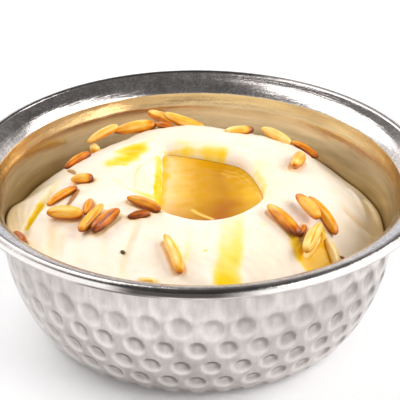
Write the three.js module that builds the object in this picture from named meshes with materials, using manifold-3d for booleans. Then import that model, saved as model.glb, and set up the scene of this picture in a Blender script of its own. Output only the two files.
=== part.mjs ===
// A hammered steel bowl of hummus with a pool of olive oil and toasted pine nuts.
// Millimetres, +Z up, origin at the centre of the bowl's flat base.
import * as THREE from 'three';
import { mergeVertices } from 'three/addons/utils/BufferGeometryUtils.js';
import Module from 'manifold-3d';

const wasm = await Module();
wasm.setup();

const FULL_TURN = 2 * Math.PI;
const CLEARANCE = 0.3;            // gap kept between touching pieces

// Bowl
const RIM_RADIUS = 75;            // outside of the rolled edge
const BOWL_HEIGHT = 54.1;         // top of the rolled edge
const BASE_RADIUS = 41.7;
const WALL = 1.4;                 // sheet thickness of the wall
const BEAD_RADIUS = 1.55;         // rolled edge
const WALL_TOP = 45.5;            // height where the flange starts to flare
const BOWL_COLUMNS = 84;          // two columns for each dimple of a row

// Hammer marks
const DIMPLE_ROWS = 6;
const FIRST_ROW = 12;             // measured along the wall from the base's edge
const ROW_PITCH = 7.9;
const DIMPLE_RADIUS = 3;
const DIMPLE_DEPTH = 0.75;        // of the lowest rows; the upper ones are shallower

// Hummus
const HUMMUS_COLUMNS = 56;
const CREST_HEIGHT = 47.6;        // mean height of the ring round the well
const CREST_RADIUS = 22;          // inside this the ring stays at its crest
const SHOULDER_POWER = 2.3;       // how late the ring falls towards the wall
const OIL_LEVEL = 44.5;
const OIL_DEPTH = 8;
const WELL_CENTRE = new THREE.Vector2(4, 2.5);

// The well's outline at the oil's level
const WELL_OUTLINE = [
  [20.4, -7.2], [12.8, -16.8], [3.4, -20.6], [-5.5, -18.2], [-11.5, -12.3], [-11.5, 0.7],
  [-11.5, 13], [-11.1, 24], [-2.7, 22.8], [5.6, 19.9], [14.4, 15], [19, 4.6],
];

// Pine nuts: x, y, lift above its own seat, heading, tilt, length, width
const NUT_SINK = 0.7;             // how deep a nut presses into the hummus
const PINE_NUTS = [
  [-32.6, 36.6, 4.8, 20, 22, 12, 3.8],
  [-35.5, 37, 0.3, -85, 27, 10, 4.2],
  [-21.8, 41.5, 1.9, 6, 8, 14.6, 4.8],
  [-13.4, 48.5, 5, 50, -35, 14, 4.2],
  [-4.8, 43, 0.1, -8, -19, 15.4, 4.6],
  [14, 36, 0, 10, -4, 10, 3.6],
  [27, 41.5, 0.4, -25, -20, 12, 4.2],
  [36.6, 36, 0.7, -35, -16, 11, 3.2],
  [32.7, 14.6, 0, 75, -14, 12, 5],
  [34.3, -14.8, 1.7, -53, -17, 11.6, 4.6],
  [39.4, -13.4, 0, -57, -22, 16.4, 4],
  [26.5, -21.7, 0, -51, -15, 15.4, 4.6],
  [35.2, -28.2, 2.8, -112, -8, 14.4, 4.6],
  [32.2, -23, -0.2, -110, 0, 6.4, 2.8],
  [41.6, -26.6, 0, -70, -31, 10.6, 3.6],
  [-16.8, -13.7, 0, -33, -2, 12.6, 4.2],
  [-18.2, -19.6, 0, 20, 0, 7.3, 2.8],
  [-7.1, -40.6, 0, -72, -14, 16.6, 4.4],
  [-37.2, 3, 0, -2, 6, 7.4, 3.9],
  [-43.2, -5.6, 0.3, 41, 10, 12.2, 3.2],
  [-41.2, -18.2, 0.2, -14, 6, 11.8, 4.9],
  [-34.2, -14.8, 0, -99, 0, 8.6, 3.4],
  [-32.6, -22, 0.4, -115, -6, 15, 4],
  [-28.2, -24, 0.2, -125, -5, 13.4, 4.7],
  [-40.5, 23.8, 0.2, 39, 12, 11, 3.3],
  [-54.6, -25.6, 0.5, -60, 4, 8, 3.2],
  [35.2, -26.6, -1.8, -118, -14, 14, 4],
  [-14.4, -50.7, 0.2, -10, 0, 4.8, 2.8],
  [-11.4, 40.4, -0.3, -20, -8, 6.8, 3.2],
];

// ---------------------------------------------------------------- closed skins of rings

class Skin {
  constructor(columns) {
    this.columns = columns;
    this.points = [];
    this.faces = [];
  }

  point(x, y, z) {
    this.points.push(x, y, z);
    return this.points.length / 3 - 1;
  }

  // A ring of points; place gives the point at an angle.
  ring(place) {
    const row = [];
    for (let column = 0; column < this.columns; column += 1) {
      row.push(this.point(...place(column * FULL_TURN / this.columns, column)));
    }
    return row;
  }

  circle(radius, height) {
    return this.ring((angle) => [radius * Math.cos(angle), radius * Math.sin(angle), height]);
  }

  join(first, second) {
    for (let column = 0; column < this.columns; column += 1) {
      const next = (column + 1) % this.columns;
      this.faces.push(first[column], first[next], second[next]);
      this.faces.push(first[column], second[next], second[column]);
    }
  }

  joinAll(rings) {
    for (let index = 1; index < rings.length; index += 1) {
      this.join(rings[index - 1], rings[index]);
    }
  }

  // A fan from a centre to the first ring, or from the last ring to a centre.
  open(centre, row) {
    for (let column = 0; column < this.columns; column += 1) {
      this.faces.push(centre, row[(column + 1) % this.columns], row[column]);
    }
  }

  close(row, centre) {
    for (let column = 0; column < this.columns; column += 1) {
      this.faces.push(row[column], row[(column + 1) % this.columns], centre);
    }
  }

  geometry() {
    const geometry = new THREE.BufferGeometry();
    geometry.setAttribute('position', new THREE.Float32BufferAttribute(this.points, 3));
    geometry.setIndex(this.faces);
    return geometry;
  }
}

// ---------------------------------------------------------------- solids for cutting

function toSolid(geometry, matrix = new THREE.Matrix4()) {
  const bare = geometry.clone();
  bare.deleteAttribute('normal');
  bare.deleteAttribute('uv');
  bare.applyMatrix4(matrix);
  const merged = mergeVertices(bare, 1e-4);
  const triVerts = [];
  for (let corner = 0; corner < merged.index.count; corner += 3) {
    const [a, b, c] = [0, 1, 2].map((step) => merged.index.getX(corner + step));
    if (a !== b && b !== c && c !== a) {
      triVerts.push(a, b, c);
    }
  }
  const vertProperties = new Float32Array(merged.attributes.position.array);
  const mesh = new wasm.Mesh({ numProp: 3, vertProperties, triVerts: new Uint32Array(triVerts) });
  return new wasm.Manifold(mesh);
}

function toGeometry(solid) {
  const mesh = solid.getMesh();
  const geometry = new THREE.BufferGeometry();
  geometry.setAttribute('position', new THREE.BufferAttribute(mesh.vertProperties, 3));
  geometry.setIndex(new THREE.BufferAttribute(mesh.triVerts, 1));
  return geometry;
}

// ---------------------------------------------------------------- bowl

// The wall's outside from the base's edge to the flange, as radius and height
const wallCurve = new THREE.SplineCurve([
  new THREE.Vector2(BASE_RADIUS, 0),
  new THREE.Vector2(50.8, 2.4),
  new THREE.Vector2(54.8, 6.8),
  new THREE.Vector2(58.6, 14.5),
  new THREE.Vector2(61.7, 24.2),
  new THREE.Vector2(63.2, 36.3),
  new THREE.Vector2(63.5, WALL_TOP),
]);
const wallLength = wallCurve.getLength();

// A point at a distance along the wall, moved inwards by depth
function wallPoint(distance, depth) {
  const share = THREE.MathUtils.clamp(distance / wallLength, 0, 1);
  const point = wallCurve.getPointAt(share);
  const tangent = wallCurve.getTangentAt(share);
  return new THREE.Vector2(point.x - tangent.y * depth, point.y + tangent.x * depth);
}

// The inside of the wall from the flange down to the floor, as radius and height
const innerWall = [0.93, 0.7, 0.5, 0.3, 0.12].map(
  (share) => wallPoint(share * wallLength, WALL),
);
const FLOOR_HEIGHT = innerWall[innerWall.length - 1].y;

function innerRadius(height) {
  for (let index = 1; index < innerWall.length; index += 1) {
    const upper = innerWall[index - 1];
    const lower = innerWall[index];
    if (height >= lower.y) {
      const share = (height - lower.y) / (upper.y - lower.y);
      return THREE.MathUtils.lerp(lower.x, upper.x, Math.min(share, 1));
    }
  }
  return innerWall[innerWall.length - 1].x;
}

// Six-sided cells of hammer marks: each has a flat border, a rim and a sunk middle.
function addDimples(skin) {
  const halfStep = Math.PI / skin.columns * 2;
  const onWall = (distance, column, depth) => {
    const spot = wallPoint(distance, depth);
    const angle = column * halfStep;
    return skin.point(spot.x * Math.cos(angle), spot.x * Math.sin(angle), spot.y);
  };
  const borderAbove = (row) => {
    const middle = FIRST_ROW + row * ROW_PITCH;
    const highest = wallLength - 0.6;
    const line = [];
    for (let column = 0; column < skin.columns; column += 1) {
      const overMark = (column + row) % 2 === 0;
      const distance = middle + ROW_PITCH * (overMark ? 2 : 1) / 3;
      line.push(onWall(Math.min(distance, highest), column, 0));
    }
    return line;
  };
  const borders = [];
  for (let row = -1; row < DIMPLE_ROWS; row += 1) {
    borders.push(borderAbove(row));
  }
  for (let row = 0; row < DIMPLE_ROWS; row += 1) {
    const below = borders[row];
    const above = borders[row + 1];
    const middle = FIRST_ROW + row * ROW_PITCH;
    const depth = DIMPLE_DEPTH * (row < 4 ? 1 : 0.55);
    const radius = wallPoint(middle, 0).x;
    for (let column = row % 2; column < skin.columns; column += 2) {
      const left = (column + skin.columns - 1) % skin.columns;
      const right = (column + 1) % skin.columns;
      const cell = [below[right], above[right], above[column], above[left], below[left], below[column]];
      const rim = cell.map((corner, index) => {
        const turn = (index - 0.5) * Math.PI / 3;
        const across = DIMPLE_RADIUS * Math.cos(turn) / (radius * halfStep);
        return onWall(middle + DIMPLE_RADIUS * Math.sin(turn), column + across, 0);
      });
      const pit = onWall(middle, column, depth);
      for (let side = 0; side < 6; side += 1) {
        const next = (side + 1) % 6;
        skin.faces.push(cell[side], cell[next], rim[next]);
        skin.faces.push(cell[side], rim[next], rim[side]);
        skin.faces.push(rim[side], rim[next], pit);
      }
    }
  }
  return [borders[0], borders[DIMPLE_ROWS]];
}

function makeBowl() {
  const skin = new Skin(BOWL_COLUMNS);
  const baseEdge = skin.circle(BASE_RADIUS - 0.9, 0);
  const heel = wallPoint(3, 0);
  const [lowBorder, highBorder] = addDimples(skin);
  skin.open(skin.point(0, 0, 0), baseEdge);
  skin.joinAll([baseEdge, skin.circle(heel.x, heel.y), lowBorder]);

  // Rolled edge, as angles round the bead from below the flange to its top
  const beadCentre = new THREE.Vector2(RIM_RADIUS - BEAD_RADIUS, BOWL_HEIGHT - BEAD_RADIUS);
  const bead = [-145, -85, -30, 20, 70, 115].map((degrees) => {
    const angle = THREE.MathUtils.degToRad(degrees);
    return skin.circle(
      beadCentre.x + BEAD_RADIUS * Math.cos(angle),
      beadCentre.y + BEAD_RADIUS * Math.sin(angle),
    );
  });
  const under = [[63.7, WALL_TOP], [65.4, 47.6]].map(([radius, height]) => (
    skin.circle(radius, height)
  ));
  const flange = [[65.4, 49.3], [63.9, 48.3], [62.8, 46.9], [62.2, 45]].map(([radius, height]) => (
    skin.circle(radius, height)
  ));
  const inside = innerWall.map((spot) => skin.circle(spot.x, spot.y));
  skin.joinAll([highBorder, ...under, ...bead, ...flange, ...inside]);
  skin.close(inside[inside.length - 1], skin.point(0, 0, FLOOR_HEIGHT));
  return toGeometry(toSolid(skin.geometry()));
}

// ---------------------------------------------------------------- hummus and oil

// Distance from the well's centre to its outline in each direction
const wellSpline = new THREE.CatmullRomCurve3(
  WELL_OUTLINE.map(([x, y]) => new THREE.Vector3(x - WELL_CENTRE.x, y - WELL_CENTRE.y, 0)),
  true,
  'catmullrom',
  0.5,
);
const wellSamples = wellSpline.getPoints(360)
  .map((point) => ({ angle: Math.atan2(point.y, point.x), reach: point.length() }))
  .sort((first, second) => first.angle - second.angle);

function wellReach(angle) {
  const wrapped = Math.atan2(Math.sin(angle), Math.cos(angle));
  let nearest = wellSamples[0];
  for (const sample of wellSamples) {
    if (Math.abs(sample.angle - wrapped) < Math.abs(nearest.angle - wrapped)) {
      nearest = sample;
    }
  }
  return nearest.reach;
}

// Height at which the hummus meets the wall, lowest towards the front right, with a smear
// pushed up the wall on the right
function contactHeight(angle) {
  const smear = 2.2 * Math.exp((Math.cos(angle - 0.17) - 1) / 0.03);
  return 32 - 4.4 * Math.cos(angle) - 1.9 * Math.sin(angle) + 4.5 * Math.sin(2 * angle) + smear;
}

// Soft folds and dents: x, y, spread, depth; a swelling has a depth below nought
const DENTS = [
  [-55, 16, 9, 2.5],
  [52, -9, 5, 1.2],
  [-44, -28, 6, 1],
  [-19, -30, 5, 0.8],
  [48, 17, 12, 2],
  [45, 31, 8, 1.8],
  [-10, 38, 17, -1.9],
];

// The ring's height: level at its crest, falling ever faster to the wall, rounded into the well
function hummusHeight(x, y) {
  const radius = Math.hypot(x, y);
  const angle = Math.atan2(y, x);
  const wallRadius = innerRadius(contactHeight(angle)) - CLEARANCE;
  const crest = CREST_HEIGHT + 0.2 * Math.cos(angle) + 1.8 * Math.sin(angle) - 0.3 * Math.cos(2 * angle);
  const out = THREE.MathUtils.clamp((radius - CREST_RADIUS) / (wallRadius - CREST_RADIUS), 0, 1);
  const ring = crest - (crest - contactHeight(angle)) * out ** SHOULDER_POWER;
  const bearing = Math.atan2(y - WELL_CENTRE.y, x - WELL_CENTRE.x);
  const fromWell = Math.hypot(x - WELL_CENTRE.x, y - WELL_CENTRE.y) - wellReach(bearing);
  const lipWidth = Math.max(1.5, 4 + 3.5 * Math.sin(bearing) - 1.5 * Math.cos(bearing));
  const rise = THREE.MathUtils.clamp(fromWell / lipWidth, 0, 1);
  const edge = OIL_LEVEL + 0.2;
  const dents = DENTS.reduce((sum, [dentX, dentY, spread, depth]) => (
    sum + depth * Math.exp(-((x - dentX) ** 2 + (y - dentY) ** 2) / spread ** 2)
  ), 0);
  return edge + (ring - edge) * Math.sqrt(1 - (1 - rise) ** 2) - dents * rise;
}

// A ring of the well's outline, shrunk by share about its centre
function wellRing(skin, share, height) {
  return skin.ring((angle) => {
    const reach = wellReach(angle) * share;
    return [WELL_CENTRE.x + reach * Math.cos(angle), WELL_CENTRE.y + reach * Math.sin(angle), height];
  });
}

function makeHummus() {
  const skin = new Skin(HUMMUS_COLUMNS);
  const gap = CLEARANCE + 0.05;
  const below = innerWall
    .filter((spot) => spot.y < 24)
    .reverse()
    .map((spot) => skin.circle(spot.x - gap, spot.y + gap));
  const wallSpot = (angle) => {
    const height = contactHeight(angle);
    const radius = innerRadius(height) - gap;
    return [radius * Math.cos(angle), radius * Math.sin(angle), height];
  };
  const contact = skin.ring(wallSpot);
  const slope = [0.93, 0.83, 0.69, 0.54, 0.39, 0.25, 0.14, 0.06, 0.015].map((share) => (
    skin.ring((angle) => {
      const [wallX, wallY] = wallSpot(angle);
      const reach = wellReach(angle);
      const wellX = WELL_CENTRE.x + reach * Math.cos(angle);
      const wellY = WELL_CENTRE.y + reach * Math.sin(angle);
      const x = THREE.MathUtils.lerp(wellX, wallX, share);
      const y = THREE.MathUtils.lerp(wellY, wallY, share);
      return [x, y, hummusHeight(x, y)];
    })
  ));
  const well = [
    wellRing(skin, 1, OIL_LEVEL + 0.2),
    wellRing(skin, 0.9, OIL_LEVEL - 0.4 * OIL_DEPTH),
    wellRing(skin, 0.7, OIL_LEVEL - 0.8 * OIL_DEPTH),
  ];
  const wellFloor = skin.point(WELL_CENTRE.x, WELL_CENTRE.y, OIL_LEVEL - OIL_DEPTH);
  skin.open(skin.point(0, 0, FLOOR_HEIGHT + gap), below[0]);
  skin.joinAll([...below, contact, ...slope, ...well]);
  skin.close(well[well.length - 1], wellFloor);
  return toSolid(skin.geometry());
}

function makeOil() {
  const skin = new Skin(HUMMUS_COLUMNS);
  const inset = 0.025;
  const rings = [
    wellRing(skin, 0.7 - inset, OIL_LEVEL - 0.8 * OIL_DEPTH + CLEARANCE),
    wellRing(skin, 0.9 - inset, OIL_LEVEL - 0.4 * OIL_DEPTH + CLEARANCE),
    wellRing(skin, 1 - inset, OIL_LEVEL),
  ];
  const deepest = OIL_LEVEL - OIL_DEPTH + CLEARANCE;
  skin.open(skin.point(WELL_CENTRE.x, WELL_CENTRE.y, deepest), rings[0]);
  skin.joinAll(rings);
  skin.close(rings[rings.length - 1], skin.point(WELL_CENTRE.x, WELL_CENTRE.y, OIL_LEVEL));
  return toGeometry(toSolid(skin.geometry()));
}

// ---------------------------------------------------------------- pine nuts

// A drop turned about its length: blunt at the start, pointed at the end
function nutGeometry(length, width) {
  const profile = [0, 0.08, 0.28, 0.55, 0.8, 0.95, 1].map((share) => {
    const swell = share === 0 || share === 1 ? 0 : Math.sin(Math.PI * share ** 0.8) ** 0.5;
    return new THREE.Vector2(swell * width / 2, (share - 0.5) * length);
  });
  return new THREE.LatheGeometry(profile, 8);
}

function nutPose([x, y, lift, heading, tilt, , width]) {
  const flat = THREE.MathUtils.degToRad(heading);
  const up = THREE.MathUtils.degToRad(tilt);
  const direction = new THREE.Vector3(
    Math.cos(flat) * Math.cos(up),
    Math.sin(flat) * Math.cos(up),
    Math.sin(up),
  );
  const place = new THREE.Object3D();
  place.quaternion.setFromUnitVectors(new THREE.Vector3(0, 1, 0), direction);
  place.position.set(x, y, hummusHeight(x, y) + (width / 2 - NUT_SINK) * 1.08 + lift);
  place.updateMatrix();
  return place;
}

// ---------------------------------------------------------------- the dish

const steel = new THREE.MeshStandardMaterial({ color: 0xc9c4c0, metalness: 1, roughness: 0.32 });
const cream = new THREE.MeshStandardMaterial({ color: 0xf6ead2, metalness: 0, roughness: 0.55 });
const amber = new THREE.MeshStandardMaterial({ color: 0xd9a03a, metalness: 0, roughness: 0.12 });
const toasted = [0xe9a93f, 0xd9842a, 0xf0c468, 0xc06a24].map((color) => (
  new THREE.MeshStandardMaterial({ color, metalness: 0, roughness: 0.45 })
));

const dish = new THREE.Group();

function addPiece(name, geometry, material) {
  const mesh = new THREE.Mesh(geometry, material);
  mesh.name = name;
  dish.add(mesh);
  return mesh;
}

let hummusSolid = makeHummus();

PINE_NUTS.forEach((nut, index) => {
  const [, , , , , length, width] = nut;
  const place = nutPose(nut);
  const mesh = addPiece(
    `pine_nut_${String(index + 1).padStart(2, '0')}`,
    toGeometry(toSolid(nutGeometry(length, width))),
    toasted[index % toasted.length],
  );
  mesh.position.copy(place.position);
  mesh.quaternion.copy(place.quaternion);
  const seat = toSolid(nutGeometry(length + 2 * CLEARANCE, width + 2.2 * CLEARANCE), place.matrix);
  hummusSolid = hummusSolid.subtract(seat);
});

addPiece('bowl', makeBowl(), steel);
addPiece('hummus', toGeometry(hummusSolid), cream);
addPiece('olive_oil', makeOil(), amber);

export default dish;
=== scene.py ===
import bpy
import numpy as np
from mathutils import Matrix, Vector


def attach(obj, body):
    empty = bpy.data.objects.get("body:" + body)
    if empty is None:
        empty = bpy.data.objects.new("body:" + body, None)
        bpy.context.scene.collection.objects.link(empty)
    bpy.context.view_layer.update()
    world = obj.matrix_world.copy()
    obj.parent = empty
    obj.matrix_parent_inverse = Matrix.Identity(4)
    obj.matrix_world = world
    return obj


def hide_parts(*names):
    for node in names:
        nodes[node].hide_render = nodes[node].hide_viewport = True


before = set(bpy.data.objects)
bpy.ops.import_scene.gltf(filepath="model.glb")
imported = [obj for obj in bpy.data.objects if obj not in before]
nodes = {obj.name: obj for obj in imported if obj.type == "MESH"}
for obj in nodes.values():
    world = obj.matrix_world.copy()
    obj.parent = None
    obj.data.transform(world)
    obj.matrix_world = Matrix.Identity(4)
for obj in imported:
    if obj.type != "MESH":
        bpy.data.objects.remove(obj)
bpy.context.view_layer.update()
mm = 0.001          # sizes below are in millimetres, meshes in metres
fullTurn = 2 * np.pi
print("frame loaded:", len(nodes), "nodes")


# Catmull-Rom through the points: between b and c, with a before and d after,
# p(t) = (2b + (c - a)t + (2a - 5b + 4c - d)t^2 + (3b - a - 3c + d)t^3) / 2
def splineThrough(points, steps, closed=False):
    p = np.array(points, float)
    last = len(p) if closed else len(p) - 1
    span = np.arange(last)
    pick = (lambda k: p[k % len(p)]) if closed else (lambda k: p[np.clip(k, 0, len(p) - 1)])
    a, b, c, d = (pick(span + k)[:, None] for k in (-1, 0, 1, 2))
    t = (np.arange(steps) / steps)[None, :, None]
    line = (2 * b + (c - a) * t + (2 * a - 5 * b + 4 * c - d) * t ** 2
            + (3 * b - a - 3 * c + d) * t ** 3) / 2
    line = line.reshape(-1, p.shape[1])
    return line if closed else np.vstack([line, p[-1:]])


# Sum of sines in random directions with wave lengths round size, about -1 to 1
def wobble(spots, size, seed, waves=16):
    rng = np.random.default_rng(seed)
    directions = rng.normal(size=(waves, spots.shape[-1]))
    directions /= np.linalg.norm(directions, axis=1, keepdims=True)
    pitch = fullTurn / size * rng.uniform(0.6, 1.6, waves)
    phase = rng.uniform(0, fullTurn, waves)
    total = np.sin(spots @ (directions * pitch[:, None]).T + phase).sum(-1)
    return total / np.sqrt(2 * waves)


# 0 below low, 1 above high, smooth between: 3t^2 - 2t^3
def smoothStep(low, high, value):
    t = np.clip((value - low) / (high - low), 0, 1)
    return t * t * (3 - 2 * t)


# A band that rises from start to full and falls from fading to end, as smoothStep does
def band(start, full, fading, end, value):
    return smoothStep(start, full, value) * smoothStep(end, fading, value)


# 1 at nought, less to both sides: exp(-(gap / width)^2)
def fade(gap, width):
    return np.exp(-(gap / width) ** 2)


# Distance from each (x, y) to a line of points, and the share of the way along it
def distanceToLine(x, y, line):
    line = np.array(line, float)
    best = np.full(np.shape(x), np.inf)
    along = np.zeros(np.shape(x))
    for k in range(len(line) - 1):
        step = line[k + 1] - line[k]
        t = ((x - line[k, 0]) * step[0] + (y - line[k, 1]) * step[1]) / (step @ step)
        t = np.clip(t, 0, 1)
        gap = np.hypot(x - line[k, 0] - t * step[0], y - line[k, 1] - t * step[1])
        along = np.where(gap < best, (k + t) / (len(line) - 1), along)
        best = np.minimum(best, gap)
    return best, along


def anglesRound(count):
    return np.arange(count) / count * fullTurn


# Points round a middle: (x + radius * cos a, y + radius * sin a, height)
def ringPoints(middle, radius, angle, height):
    return np.stack(np.broadcast_arrays(middle[0] + radius * np.cos(angle),
                                        middle[1] + radius * np.sin(angle), height), -1)


def addObject(name, data):
    thing = bpy.data.objects.new(name, data)
    bpy.context.scene.collection.objects.link(thing)
    return thing


# A closed skin from rows x columns of points in millimetres. Columns join round, and a pole
# closes the first or last row with a fan. Rows that go up the outside face outwards.
def skinMesh(name, grid, firstPole=None, lastPole=None, values=None):
    rows, columns = grid.shape[:2]
    points = [grid.reshape(-1, 3)]
    index = np.arange(rows * columns).reshape(rows, columns)
    ahead = np.roll(index, -1, axis=1)
    quads = np.stack([index[:-1], ahead[:-1], ahead[1:], index[1:]], -1).reshape(-1, 4)
    loops = [quads.ravel()]
    sizes = [np.full(len(quads), 4)]
    count = rows * columns
    for pole, row, flip in ((firstPole, 0, True), (lastPole, rows - 1, False)):
        if pole is None:
            continue
        points.append(np.array([pole], float))
        centre = np.full(columns, count)
        first, second = (ahead[row], index[row]) if flip else (index[row], ahead[row])
        loops.append(np.stack([centre, first, second], -1).ravel())
        sizes.append(np.full(columns, 3))
        count += 1
    points = np.vstack(points) * mm
    loops = np.concatenate(loops)
    sizes = np.concatenate(sizes)
    starts = np.concatenate([[0], np.cumsum(sizes)[:-1]])
    mesh = bpy.data.meshes.new(name)
    mesh.vertices.add(len(points))
    mesh.vertices.foreach_set("co", points.astype(np.float32).ravel())
    mesh.loops.add(len(loops))
    mesh.loops.foreach_set("vertex_index", loops.astype(np.int32))
    mesh.polygons.add(len(sizes))
    mesh.polygons.foreach_set("loop_start", starts.astype(np.int32))
    mesh.polygons.foreach_set("use_smooth", np.ones(len(sizes), bool))
    mesh.update(calc_edges=True)
    mesh.validate()
    for key, value in (values or {}).items():
        if value.ndim == 3:
            poles = len(points) - rows * columns
            flat = np.vstack([value.reshape(-1, 3)] + [value[-1, :1]] * poles)
            layer = mesh.attributes.new(key, "FLOAT_VECTOR", "POINT")
            layer.data.foreach_set("vector", flat.astype(np.float32).ravel())
        else:
            ends = [value[0].mean()] * (firstPole is not None)
            ends += [value[-1].mean()] * (lastPole is not None)
            flat = np.concatenate([value.ravel(), ends])
            layer = mesh.attributes.new(key, "FLOAT", "POINT")
            layer.data.foreach_set("value", flat.astype(np.float32))
    return addObject(name, mesh)


# Linear colour of an sRGB one from 0 to 255
def linear(red, green, blue):
    c = np.array([red, green, blue]) / 255
    c = np.where(c <= 0.04045, c / 12.92, ((c + 0.055) / 1.055) ** 2.4)
    return (*[float(v) for v in c], 1.0)


def grey(level):
    return (level, level, level, 1.0)


# Each input gets a link from a socket or a value of its own
def fillInputs(tree, node, inputs):
    for key, value in inputs.items():
        if isinstance(value, bpy.types.NodeSocket):
            tree.links.new(value, node.inputs[key])
        else:
            node.inputs[key].default_value = value


def addNode(tree, kind, settings=None, inputs=None):
    node = tree.nodes.new(kind)
    for key, value in (settings or {}).items():
        setattr(node, key, value)
    fillInputs(tree, node, inputs or {})
    return node


def mathNode(tree, operation, *values, clamp=False):
    settings = {"operation": operation, "use_clamp": clamp}
    return addNode(tree, "ShaderNodeMath", settings, dict(enumerate(values))).outputs[0]


def mixColor(tree, share, first, second):
    inputs = {0: share, 6: first, 7: second}      # the colour sockets of this node
    return addNode(tree, "ShaderNodeMix", {"data_type": "RGBA"}, inputs).outputs[2]


def colorRamp(tree, value, stops):
    node = addNode(tree, "ShaderNodeValToRGB", inputs={"Fac": value})
    marks = node.color_ramp.elements
    while len(marks) < len(stops):
        marks.new(0.5)
    for mark, (place, color) in zip(marks, stops):
        mark.position = place
        mark.color = color
    return node.outputs["Color"]


def toneRamp(tree, value, tones):
    return colorRamp(tree, value, [(at, linear(*tone)) for at, tone in tones])


def mapRange(tree, value, low, high, toLow=0.0, toHigh=1.0):
    return addNode(tree, "ShaderNodeMapRange", {"clamp": True}, {
        "Value": value, "From Min": low, "From Max": high, "To Min": toLow, "To Max": toHigh,
    }).outputs[0]


def attributeValue(tree, name, output="Fac"):
    return addNode(tree, "ShaderNodeAttribute", {"attribute_name": name}).outputs[output]


def axisValues(tree, vector):
    return addNode(tree, "ShaderNodeSeparateXYZ", inputs={"Vector": vector}).outputs


def newMaterial(name):
    material = bpy.data.materials.new(name)
    material.use_nodes = True
    tree = material.node_tree
    shader = tree.nodes["Principled BSDF"]
    place = addNode(tree, "ShaderNodeTexCoord").outputs["Object"]
    return material, tree, shader, place


def newGroup(name, inputs, outputs):
    tree = bpy.data.node_groups.new(name, "ShaderNodeTree")
    for label, kind, value in inputs:
        socket = tree.interface.new_socket(name=label, in_out="INPUT", socket_type=kind)
        if value is not None:
            socket.default_value = value
    for label, kind in outputs:
        tree.interface.new_socket(name=label, in_out="OUTPUT", socket_type=kind)
    return tree, tree.nodes.new("NodeGroupInput").outputs, tree.nodes.new("NodeGroupOutput").inputs


# Mottle: soft patches, 0 to 1, round a middle of 0.5; Contrast spreads them
def buildMottle():
    tree, source, sink = newGroup("mottle", [
        ("Vector", "NodeSocketVector", None), ("Scale", "NodeSocketFloat", 300.0),
        ("Contrast", "NodeSocketFloat", 2.0), ("Detail", "NodeSocketFloat", 3.0),
    ], [("Mask", "NodeSocketFloat")])
    noise = addNode(tree, "ShaderNodeTexNoise", inputs={
        "Vector": source["Vector"], "Scale": source["Scale"], "Detail": source["Detail"],
        "Roughness": 0.55,
    }).outputs[0]
    centred = mathNode(tree, "SUBTRACT", noise, 0.5)
    spread = mathNode(tree, "MULTIPLY", centred, source["Contrast"])
    tree.links.new(mathNode(tree, "ADD", spread, 0.5, clamp=True), sink["Mask"])
    return tree


# Two layers: a coarse and a fine noise added into one height, Fine Share of the second
def buildTwoLayers():
    tree, source, sink = newGroup("twoLayers", [
        ("Vector", "NodeSocketVector", None), ("Coarse Scale", "NodeSocketFloat", 200.0),
        ("Fine Scale", "NodeSocketFloat", 1200.0), ("Fine Share", "NodeSocketFloat", 0.3),
    ], [("Height", "NodeSocketFloat")])
    coarse, fine = (addNode(tree, "ShaderNodeTexNoise", inputs={
        "Vector": source["Vector"], "Scale": source[key], "Detail": 2.0,
    }).outputs[0] for key in ("Coarse Scale", "Fine Scale"))
    fineShare = mathNode(tree, "MULTIPLY", fine, source["Fine Share"])
    tree.links.new(mathNode(tree, "ADD", coarse, fineShare), sink["Height"])
    return tree


mottleGroup = buildMottle()
layersGroup = buildTwoLayers()


def mottle(tree, vector, scale, contrast, detail=3.0):
    return addNode(tree, "ShaderNodeGroup", {"node_tree": mottleGroup}, {
        "Vector": vector, "Scale": scale, "Contrast": contrast, "Detail": detail,
    }).outputs["Mask"]


# A mottle turned into a push up or down by half of amount at most
def sway(tree, mask, amount):
    return mathNode(tree, "MULTIPLY", mathNode(tree, "SUBTRACT", mask, 0.5), amount)


def layerBump(tree, vector, coarse, fine, fineShare, distance, strength=1.0):
    height = addNode(tree, "ShaderNodeGroup", {"node_tree": layersGroup}, {
        "Vector": vector, "Coarse Scale": coarse, "Fine Scale": fine, "Fine Share": fineShare,
    }).outputs["Height"]
    return addNode(tree, "ShaderNodeBump", inputs={
        "Height": height, "Distance": distance, "Strength": strength,
    }).outputs["Normal"]


print("material groups built")

view = {
    "aim": (0.7, 0.0, 41.3),
    "distance": 500.0,
    "elevation": 29.07,      # degrees above the table
    "roll": 0.27,
    "sensor": 36,
    "lens": 139.95,
}

lights = {
    # direction towards the light, then in metres its distance, width and height, its power
    "left": ((-0.56, 0.28, 0.78), 1.1, 0.95, 0.92, 9.0),
    "right": ((0.783, -0.127, 0.609), 1.1, 1.25, 0.60, 12.3),
}
lightColor = (1.0, 0.997, 0.994)

sky = {
    # brightness from low down to overhead; the bright part reaches less high at the back
    # and at the right
    "bands": [(0.0, 1.2), (0.41, 1.2), (0.60, 0.30), (0.80, 0.18), (1.0, 0.18)],
    "backTilt": 0.02,
    "sideTilt": 0.12,
    "back": (1.10, 1.16, 1.26, 1.0),     # bluer straight behind the dish
    "backSpread": (0.86, 0.97),
    "front": 0.10,                       # dark in front, above a bright horizon
    "frontSpread": (-0.66, -0.80),
    "frontAbove": (0.47, 0.56),
}

floorLook = {
    "halfSize": 1.5,         # metres
    "tones": ((0.95, 0.95, 0.955, 1), (0.97, 0.97, 0.975, 1)),
    "roughness": 0.9,
}

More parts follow.
